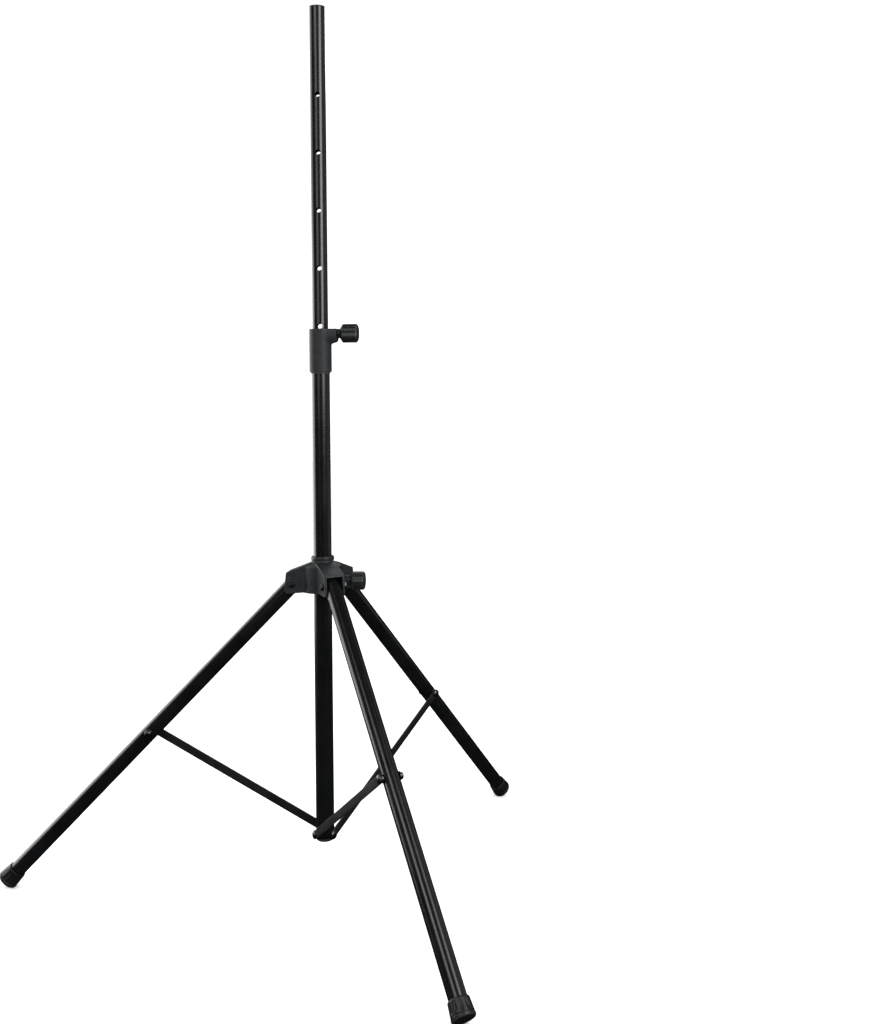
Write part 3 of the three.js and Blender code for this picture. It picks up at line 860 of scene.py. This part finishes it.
def make_pivot_bolt(k):
    place = bolt_space(pivot(f"leg_{k}_fold"), k)
    low, high = span(f"leg_{k}_pivot_bolt", place)
    seat = low + 5
    face = HEX_ACROSS / 2 * 0.97
    rows = [row(0, low + 0.35), row(face - 1.6, low + 0.35), row(face - 1.2, low), row(face, low), row(-1, low),
            row(-1, seat - 0.4), row(6.2, seat - 0.4), row(6.2, seat), row(4, seat), row(4, high - 0.8),
            row(3.3, high), row(0, high)]
    return hex_piece(f"leg_{k}_pivot_bolt_fine", rows, place, (low, high))


def make_pivot_nut(k):
    place = bolt_space(pivot(f"leg_{k}_fold"), k)
    low, high = span(f"leg_{k}_pivot_nut", place)
    face = HEX_ACROSS / 2 * 0.97
    rows = [row(4.3, low + 0.5), row(4.8, low), row(face, low), row(-1, low), row(-1, high), row(face, high),
            row(4.8, high), row(4.3, high - 0.5)]
    return hex_piece(f"leg_{k}_pivot_nut_fine", rows, place, (low, high))


def dome(radius, seat, height):
    """A low domed head whose flat side faces up the space."""
    return [[0, seat - height], [radius * 0.5, seat - height * 0.94, 6], [radius * 0.86, seat - height * 0.55, 4],
            [radius, seat - height * 0.12, 0.8], [radius, seat, 0.25]]


def make_strut_bolt(k):
    place = bolt_space(pivot(f"strut_{k}_fold"), k)
    _, high = span(f"strut_{k}_bolt", place)
    seat = -STRUT_FAR - 0.3
    profile = [*dome(9.5, seat, 5), [4, seat, 0.2], [4, high, 0.6], [0, high]]
    return turned(f"strut_{k}_bolt_fine", profile, place, sides=64, fillet=0.4)


def make_strut_nut(k):
    """A domed nut on a round washer."""
    place = bolt_space(pivot(f"strut_{k}_fold"), k)
    low, high = span(f"strut_{k}_nut", place)
    profile = [
        [0, low + 4.6], [4.3, low + 4.6], [4.3, low], [9.5, low, 0.3], [9.5, low + 1.6, 0.5], [7.4, low + 1.8, 0.2],
        [7.3, low + 6, 0.8], [5.6, high - 1.2, 2.5], [2.5, high - 0.1, 4], [0, high],
    ]
    return turned(f"strut_{k}_nut_fine", profile, place, sides=64, fillet=0.3)


def make_strut_spacer(k):
    place = bolt_space(pivot(f"strut_{k}_fold"), k)
    low, high = span(f"strut_{k}_spacer", place)
    profile = [[4.3, low], [8.5, low], [8.5, high], [4.3, high]]
    return turned(f"strut_{k}_spacer_fine", profile, place, sides=64, closed=True, fillet=0.3)


def make_strut_pin(k):
    place = bolt_space(strut_foot(k), k)
    _, high = span(f"strut_{k}_pin", place)
    seat = -STRUT_FAR - 0.3
    profile = [*dome(10, seat, 5), [4, seat, 0.2], [4, high, 0.4], [0, high]]
    return turned(f"strut_{k}_pin_fine", profile, place, sides=64, fillet=0.4)


# ---------------------------------------------------------------- finishes
class Nodes:
    """A short way to write one material's nodes."""

    def __init__(self, name):
        self.material = bpy.data.materials.new(name)
        self.material.use_nodes = True
        self.tree = self.material.node_tree
        self.shader = self.tree.nodes["Principled BSDF"]
        self.place = self.add("ShaderNodeTexCoord").outputs["Object"]

    def add(self, kind, inputs=None, **settings):
        node = self.tree.nodes.new(kind)
        for key, value in settings.items():
            setattr(node, key, value)
        for key, value in (inputs or {}).items():
            self.set(node.inputs[key], value)
        return node

    def set(self, socket, value):
        if isinstance(value, bpy.types.NodeSocket):
            self.tree.links.new(value, socket)
        else:
            socket.default_value = value

    def stretched(self, scale):
        """The piece's own coordinates, scaled along each axis."""
        return self.add("ShaderNodeMapping", {"Vector": self.place, "Scale": scale}).outputs[0]

    def noise(self, scale, detail=3.0, roughness=0.55, vector=None):
        inputs = {"Vector": vector or self.place, "Scale": scale, "Detail": detail, "Roughness": roughness}
        return self.add("ShaderNodeTexNoise", inputs).outputs["Fac"]

    def ramp(self, value, low, high, to_low=0.0, to_high=1.0):
        inputs = {"Value": value, "From Min": low, "From Max": high, "To Min": to_low, "To Max": to_high}
        return self.add("ShaderNodeMapRange", inputs).outputs[0]

    def math(self, operation, a, b, clamp=False):
        return self.add("ShaderNodeMath", {0: a, 1: b}, operation=operation, use_clamp=clamp).outputs[0]

    def mix(self, share, a, b):
        node = self.add("ShaderNodeMix", data_type="RGBA")
        self.set(node.inputs[0], share)
        self.set(node.inputs[6], a)
        self.set(node.inputs[7], b)
        return node.outputs[2]

    def edge(self, low, high):
        """How far the surface is a worn outer edge, from the mesh's own mark."""
        mark = self.add("ShaderNodeAttribute", attribute_name="edge").outputs["Fac"]
        return self.ramp(mark, low, high)

    # Painted shade: the depth in hollows and inner corners, from the negative part of the mesh's mark.
    def painted_hollow_shade(self):
        mark = self.add("ShaderNodeAttribute", attribute_name="edge").outputs["Fac"]
        return self.ramp(mark, 0.0, -0.7)

    def bump(self, height, distance, strength=1.0, normal=None):
        inputs = {"Height": height, "Distance": distance, "Strength": strength}
        if normal is not None:
            inputs["Normal"] = normal
        return self.add("ShaderNodeBump", inputs).outputs[0]

    def finish(self, color, roughness, normal, metallic=0.0, specular=0.5):
        self.set(self.shader.inputs["Base Color"], color)
        self.set(self.shader.inputs["Roughness"], roughness)
        self.set(self.shader.inputs["Normal"], normal)
        self.shader.inputs["Metallic"].default_value = metallic
        self.shader.inputs["Specular IOR Level"].default_value = specular
        return self.material


def grey(value, tint=(1.0, 1.0, 1.0)):
    return (value * tint[0], value * tint[1], value * tint[2], 1.0)


COOL = (0.88, 1.0, 1.14)


def tube_paint():
    """Semi-gloss black enamel: faint orange peel, fine scuffs along the tube, and dust."""
    n = Nodes("painted_tube")
    scuffs = n.noise(1.0, 2.0, vector=n.stretched((900, 900, 9)))
    scuff = n.ramp(scuffs, 0.62, 0.78)
    patches = n.noise(14.0, 4.0)
    base = n.mix(n.ramp(patches, 0.35, 0.7), grey(0.0018, COOL), grey(0.0032, COOL))
    color = n.mix(n.math("MULTIPLY", scuff, 0.25), base, grey(0.012, COOL))
    color = n.mix(n.edge(0.3, 1.0), color, grey(0.05, COOL))
    rough = n.ramp(patches, 0.3, 0.75, 0.21, 0.27)
    rough = n.math("ADD", rough, n.math("MULTIPLY", scuff, 0.12), clamp=True)
    peel = n.bump(n.noise(420.0, 2.0), 0.00002, 0.4)
    normal = n.bump(scuffs, 0.00001, 0.3, peel)
    return n.finish(color, rough, normal)


def bar_paint():
    """Satin black paint on flat bar, a little thicker and greyer at the edges."""
    n = Nodes("painted_bar")
    patches = n.noise(30.0, 4.0)
    base = n.mix(n.ramp(patches, 0.35, 0.7), grey(0.003), grey(0.006))
    color = n.mix(n.math("MULTIPLY", n.edge(0.2, 1.0), 0.7), base, grey(0.03))
    rough = n.ramp(patches, 0.3, 0.7, 0.42, 0.5)
    peel = n.bump(n.noise(600.0, 2.0), 0.00008, 0.6)
    return n.finish(color, rough, peel)


def moulded_plastic():
    """Fine-grained charcoal nylon, lighter where its edges have rubbed, with painted shade darkening its hollows
    and corners.
    """
    n = Nodes("moulded_plastic")
    blotches = n.noise(55.0, 5.0)
    grain = n.noise(1500.0, 2.0, 0.7)
    base = n.mix(n.ramp(blotches, 0.3, 0.7), grey(0.0075, COOL), grey(0.0115, COOL))
    base = n.mix(n.math("MULTIPLY", n.ramp(grain, 0.55, 0.75), 0.35), base, grey(0.025, COOL))
    rubbed = n.math("MULTIPLY", n.edge(0.15, 0.8), n.ramp(blotches, 0.25, 0.65, 0.35, 1.0))
    color = n.mix(n.math("MULTIPLY", rubbed, 0.55), base, grey(0.055, COOL))
    # Painted shade: darker in hollows and inner corners.
    color = n.mix(n.math("MULTIPLY", n.painted_hollow_shade(), 0.5), color, grey(0.005, COOL))
    rough = n.ramp(blotches, 0.3, 0.7, 0.46, 0.58)
    fine = n.bump(grain, 0.00025, 0.5)
    normal = n.bump(n.noise(180.0, 3.0), 0.00012, 0.35, fine)
    return n.finish(color, rough, normal, specular=0.32)


def smooth_plastic():
    """Satin black plastic with hair-fine handling marks."""
    n = Nodes("smooth_plastic")
    blotches = n.noise(80.0, 4.0)
    marks = n.noise(1.0, 2.0, vector=n.stretched((160, 1100, 700)))
    base = n.mix(n.ramp(blotches, 0.3, 0.7), grey(0.0045, COOL), grey(0.008, COOL))
    color = n.mix(n.math("MULTIPLY", n.edge(0.2, 1.0), 0.45), base, grey(0.04, COOL))
    rough = n.ramp(blotches, 0.3, 0.7, 0.34, 0.46)
    fine = n.bump(n.noise(900.0, 2.0), 0.00012, 0.4)
    normal = n.bump(marks, 0.00004, 0.3, fine)
    return n.finish(color, rough, normal)


def foot_rubber():
    """Matt black rubber with a pitted skin."""
    n = Nodes("foot_rubber")
    blotches = n.noise(45.0, 5.0)
    pits = n.noise(1100.0, 3.0, 0.7)
    base = n.mix(n.ramp(blotches, 0.35, 0.7), grey(0.003), grey(0.0055))
    color = n.mix(n.math("MULTIPLY", n.edge(0.2, 1.0), 0.4), base, grey(0.03))
    rough = n.ramp(blotches, 0.3, 0.7, 0.3, 0.42)
    normal = n.bump(pits, 0.0003, 0.5)
    return n.finish(color, rough, normal, specular=0.4)


def fastener_steel():
    """Blackened steel, rubbed brighter on its edges."""
    n = Nodes("fastener_steel")
    blotches = n.noise(250.0, 4.0)
    base = n.mix(n.ramp(blotches, 0.35, 0.7), grey(0.06), grey(0.11))
    color = n.mix(n.math("MULTIPLY", n.edge(0.2, 1.0), 0.6), base, grey(0.24))
    rough = n.ramp(blotches, 0.3, 0.7, 0.25, 0.42)
    normal = n.bump(n.noise(1300.0, 2.0), 0.00008, 0.5)
    return n.finish(color, rough, normal, metallic=1.0)


def clamp_brass():
    """Plain turned brass with a dull skin."""
    n = Nodes("clamp_brass")
    blotches = n.noise(200.0, 4.0)
    color = n.mix(n.ramp(blotches, 0.3, 0.7), (0.42, 0.29, 0.11, 1), (0.58, 0.43, 0.2, 1))
    rough = n.ramp(blotches, 0.3, 0.7, 0.28, 0.45)
    normal = n.bump(n.noise(900.0, 2.0), 0.00008, 0.5)
    return n.finish(color, rough, normal, metallic=1.0)


FINISHES = {
    "painted_tube": tube_paint(),
    "painted_bar": bar_paint(),
    "moulded_plastic": moulded_plastic(),
    "smooth_plastic": smooth_plastic(),
    "foot_rubber": foot_rubber(),
    "fastener_steel": fastener_steel(),
    "clamp_brass": clamp_brass(),
}


def paint(piece, slot):
    piece.data.materials.clear()
    piece.data.materials.append(FINISHES[slot])


def dress(piece, node):
    """The fine piece takes its CAD node's place, body and finish."""
    paint(piece, SLOTS[node])
    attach(piece, BODIES[node])
    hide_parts(node)


# ---------------------------------------------------------------- making the stand
def make_mast():
    dress(make_upper_tube(), "upper_tube")
    dress(make_lower_tube(), "lower_tube")
    dress(make_top_plug(), "top_plug")
    dress(make_end_cap(), "tube_end_cap")
    dress(make_collar(), "collar")
    dress(make_collar_bush(), "collar_bush")
    dress(make_collar_rivet(), "collar_rivet")


def make_clamps():
    dress(make_stud("collar"), "collar_stud")
    dress(make_stud("hub"), "hub_stud")
    dress(make_collar_knob(), "collar_knob")
    dress(make_hub_knob(), "hub_knob")


def make_tripod():
    dress(make_hub(), "hub")
    dress(make_hub_sleeve(), "hub_sleeve")
    for k in LEGS:
        dress(make_leg_tube(k), f"leg_{k}_tube")
        dress(make_leg_plug(k), f"leg_{k}_top_plug")
        dress(make_foot(k), f"leg_{k}_foot")
        dress(make_pivot_bolt(k), f"leg_{k}_pivot_bolt")
        dress(make_pivot_nut(k), f"leg_{k}_pivot_nut")
        dress(make_strut(k), f"strut_{k}")
        dress(make_strut_bolt(k), f"strut_{k}_bolt")
        dress(make_strut_nut(k), f"strut_{k}_nut")
        dress(make_strut_spacer(k), f"strut_{k}_spacer")
        dress(make_strut_pin(k), f"strut_{k}_pin")


def paint_hidden_nodes():
    """The CAD nodes that stay are inside the clamps and the mast."""
    for node, piece in frame["nodes"].items():
        if not piece.hide_render:
            paint(piece, SLOTS[node])


# ---------------------------------------------------------------- camera, floor and light
CAMERA_TURN = 0.1901
CAMERA_DISTANCE = 2.9444
CAMERA_HEIGHT = 1.1368
CAMERA_YAW = 0.1581
CAMERA_PITCH = -0.0253
CAMERA_ROLL = -0.0141
CAMERA_LENS = 45.612
CAMERA_SHIFT = (-0.0856, -0.17)
GLOSS_DARK = 0.015


def from_mast(turn, distance, height):
    """A point round the mast's axis: turn 0 is in front, and it grows towards +X."""
    return MAST + Vector((math.sin(turn), -math.cos(turn), 0)) * distance + UP * height


def make_camera():
    data = bpy.data.cameras.new("camera")
    camera = bpy.data.objects.new("camera", data)
    bpy.context.scene.collection.objects.link(camera)
    data.lens = CAMERA_LENS
    data.sensor_width = 36
    data.shift_x, data.shift_y = CAMERA_SHIFT
    turn = CAMERA_TURN - CAMERA_YAW
    level = math.cos(CAMERA_PITCH)
    forward = Vector((-math.sin(turn) * level, math.cos(turn) * level, -math.sin(CAMERA_PITCH)))
    right = Vector((math.cos(turn), math.sin(turn), 0))
    rise = right.cross(forward)
    c, s = math.cos(CAMERA_ROLL), math.sin(CAMERA_ROLL)
    place = from_mast(CAMERA_TURN, CAMERA_DISTANCE, CAMERA_HEIGHT)
    camera.matrix_world = space(place, right * c + rise * s, rise * c - right * s, -forward)
    bpy.context.scene.camera = camera


def dark_in_gloss(n):
    """Lets the floor's surface show only a dark grey in the stand's gloss."""
    path = n.add("ShaderNodeLightPath").outputs["Is Glossy Ray"]
    dark = n.add("ShaderNodeEmission", {"Color": (1.0, 1.0, 1.0, 1.0), "Strength": GLOSS_DARK})
    choose = n.add("ShaderNodeMixShader", {0: path, 1: n.shader.outputs[0], 2: dark.outputs[0]})
    end = n.tree.nodes["Material Output"]
    n.set(end.inputs["Surface"], choose.outputs[0])


def make_floor():
    size = 14
    mesh = bpy.data.meshes.new("floor")
    mesh.from_pydata([(-size, -size, 0), (size, -size, 0), (size, size, 0), (-size, size, 0)], [], [(0, 1, 2, 3)])
    floor = bpy.data.objects.new("floor", mesh)
    bpy.context.scene.collection.objects.link(floor)
    n = Nodes("floor")
    patches = n.noise(3.0, 3.0)
    color = n.mix(patches, grey(0.80), grey(0.82))
    n.finish(color, 0.9, n.bump(n.noise(300.0, 2.0), 0.0002, 0.2), specular=0.0)
    dark_in_gloss(n)
    mesh.materials.append(n.material)


def make_world():
    """White round the stand, and nearly dark in its gloss, as in a studio with black flags."""
    world = bpy.data.worlds.new("studio")
    bpy.context.scene.world = world
    world.use_nodes = True
    tree = world.node_tree
    tree.nodes.clear()
    path = tree.nodes.new("ShaderNodeLightPath")
    white = tree.nodes.new("ShaderNodeBackground")
    dark = tree.nodes.new("ShaderNodeBackground")
    choose = tree.nodes.new("ShaderNodeMixShader")
    end = tree.nodes.new("ShaderNodeOutputWorld")
    white.inputs["Color"].default_value = (1.0, 1.0, 1.0, 1.0)
    white.inputs["Strength"].default_value = 1.25
    dark.inputs["Color"].default_value = (0.9, 0.95, 1.0, 1.0)
    dark.inputs["Strength"].default_value = GLOSS_DARK
    tree.links.new(path.outputs["Is Glossy Ray"], choose.inputs[0])
    tree.links.new(white.outputs[0], choose.inputs[1])
    tree.links.new(dark.outputs[0], choose.inputs[2])
    tree.links.new(choose.outputs[0], end.inputs[0])


def softbox(name, turn, distance, height, size, power, aim=0.9):
    """A flat lamp round the mast that faces it and doesn't show to the camera."""
    data = bpy.data.lights.new(name, "AREA")
    data.shape = "RECTANGLE"
    data.size, data.size_y = size
    data.energy = power
    lamp = bpy.data.objects.new(name, data)
    bpy.context.scene.collection.objects.link(lamp)
    lamp.location = from_mast(turn, distance, height)
    look = MAST + UP * aim - lamp.location
    lamp.rotation_mode = "QUATERNION"
    lamp.rotation_quaternion = look.to_track_quat("-Z", "Y")
    lamp.visible_camera = False


def make_lights():
    front = CAMERA_TURN
    softbox("strip_left", front - 28 * DEG, 2.6, 2.05, (1.2, 1.9), 15, aim=2.05)
    softbox("strip_right", front + 37 * DEG, 2.6, 2.05, (1.4, 1.9), 60, aim=2.05)
    softbox("top_left", front - 38 * DEG, 2.6, 3.2, (1.2, 1.1), 18, aim=0.3)
    softbox("top_right", front + 50 * DEG, 2.6, 3.5, (1.2, 1.1), 14, aim=0.3)
    softbox("wing_low", front - 126 * DEG, 3.0, 0.9, (3.9, 1.7), 78, aim=0.9)
    softbox("wing_high", front - 131 * DEG, 3.0, 2.6, (4.0, 1.75), 42, aim=1.6)
    softbox("fill_right", front + 95 * DEG, 3.0, 1.6, (3.0, 3.0), 10, aim=1.2)
    softbox("back", front + 165 * DEG, 3.0, 2.8, (1.6, 0.8), 20, aim=0.9)


def view_transform():
    settings = bpy.context.scene.view_settings
    settings.view_transform = "Standard"
    settings.look = "None"
    settings.exposure = 0
    settings.gamma = 1


make_camera()
make_floor()
make_world()
make_lights()
view_transform()
make_mast()
make_clamps()
make_tripod()
paint_hidden_nodes()
